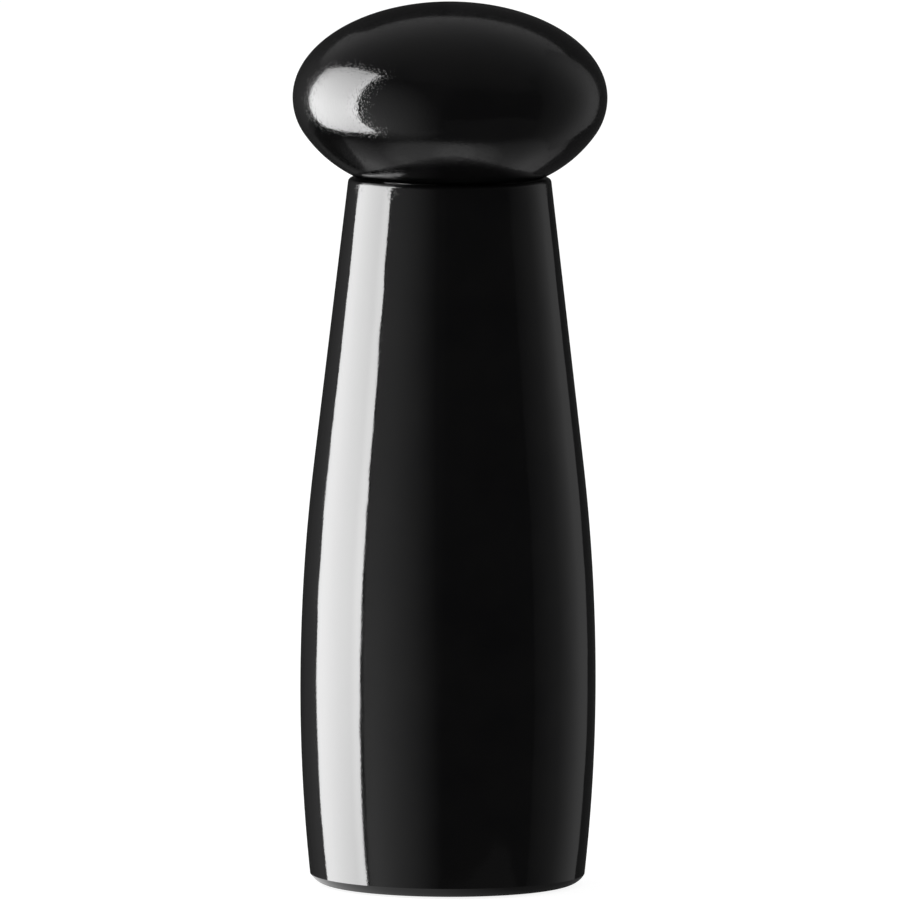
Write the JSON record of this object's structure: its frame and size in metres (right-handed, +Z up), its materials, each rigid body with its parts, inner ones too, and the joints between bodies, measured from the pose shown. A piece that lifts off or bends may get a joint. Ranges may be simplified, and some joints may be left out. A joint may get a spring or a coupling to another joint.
{
  "type": "pepper mill",
  "caption": "Turned gloss black pepper mill with a rounded lift-off head that drives a ceramic burr grinder through a square shaft, with a grind adjusting knob under the base.",
  "frame": {"origin": "centre of the base ring on the table", "axes": "+Z up along the turning axis, from the base to the head; +X and +Y are any two directions across it, with +Y away from the viewer of the picture"},
  "size_m": [0.064, 0.064, 0.18],
  "materials": {
    "lacquered_wood": "turned hardwood under thick polished black lacquer outside, bare wood in the bores",
    "black_acetal": "moulded black acetal, fine matt texture",
    "pale_acetal": "moulded natural acetal, satin",
    "burr_ceramic": "sintered ceramic, unglazed, slightly rough",
    "shaft_alloy": "drawn square bar with turned corners, satin",
    "bright_steel": "stainless steel, bright",
    "insert_brass": "turned brass",
    "ring_rubber": "black silicone rubber, matt"
  },
  "bodies": {
    "mill_body": {"barrel": "lacquered_wood", "grinder_housing": "black_acetal", "housing_screws": "bright_steel", "outer_burr": "burr_ceramic", "bridge": "black_acetal", "shaft_bush": "pale_acetal", "spring_washer": "bright_steel"},
    "spindle": {"drive_shaft": "shaft_alloy", "shaft_clip": "bright_steel", "thrust_washer": "bright_steel", "stop_clip": "bright_steel", "burr_spring": "bright_steel"},
    "burr": {"inner_burr": "burr_ceramic", "burr_carrier": "black_acetal"},
    "adjuster": {"adjusting_knob": "black_acetal", "thread_insert": "insert_brass"},
    "head": {"head": "lacquered_wood", "drive_socket": "black_acetal", "socket_cap": "black_acetal", "socket_screws": "bright_steel", "grip_ring": "ring_rubber"}
  },
  "joints": [
    {"name": "grind_turn", "type": "hinge", "parent": "mill_body", "child": "spindle", "pos_m": [0, 0, 0.0345], "axis": [0, 0, 1], "continuous": true},
    {"name": "head_lift", "type": "slide", "parent": "spindle", "child": "head", "axis": [0, 0, 1], "range_m": [0, 0.07]},
    {"name": "burr_slide", "type": "slide", "parent": "spindle", "child": "burr", "axis": [0, 0, 1], "range_m": [-0.0012, 0.0008], "deforming": ["burr_spring"]},
    {"name": "coarseness_turn", "type": "hinge", "parent": "burr", "child": "adjuster", "pos_m": [0, 0, 0.0088], "axis": [0, 0, 1], "range_deg": [-540.6, 360.6]}
  ],
  "couplings": [
    {"joint": "coarseness_turn", "follows": "burr_slide", "rad_per_m": 7854}
  ]
}
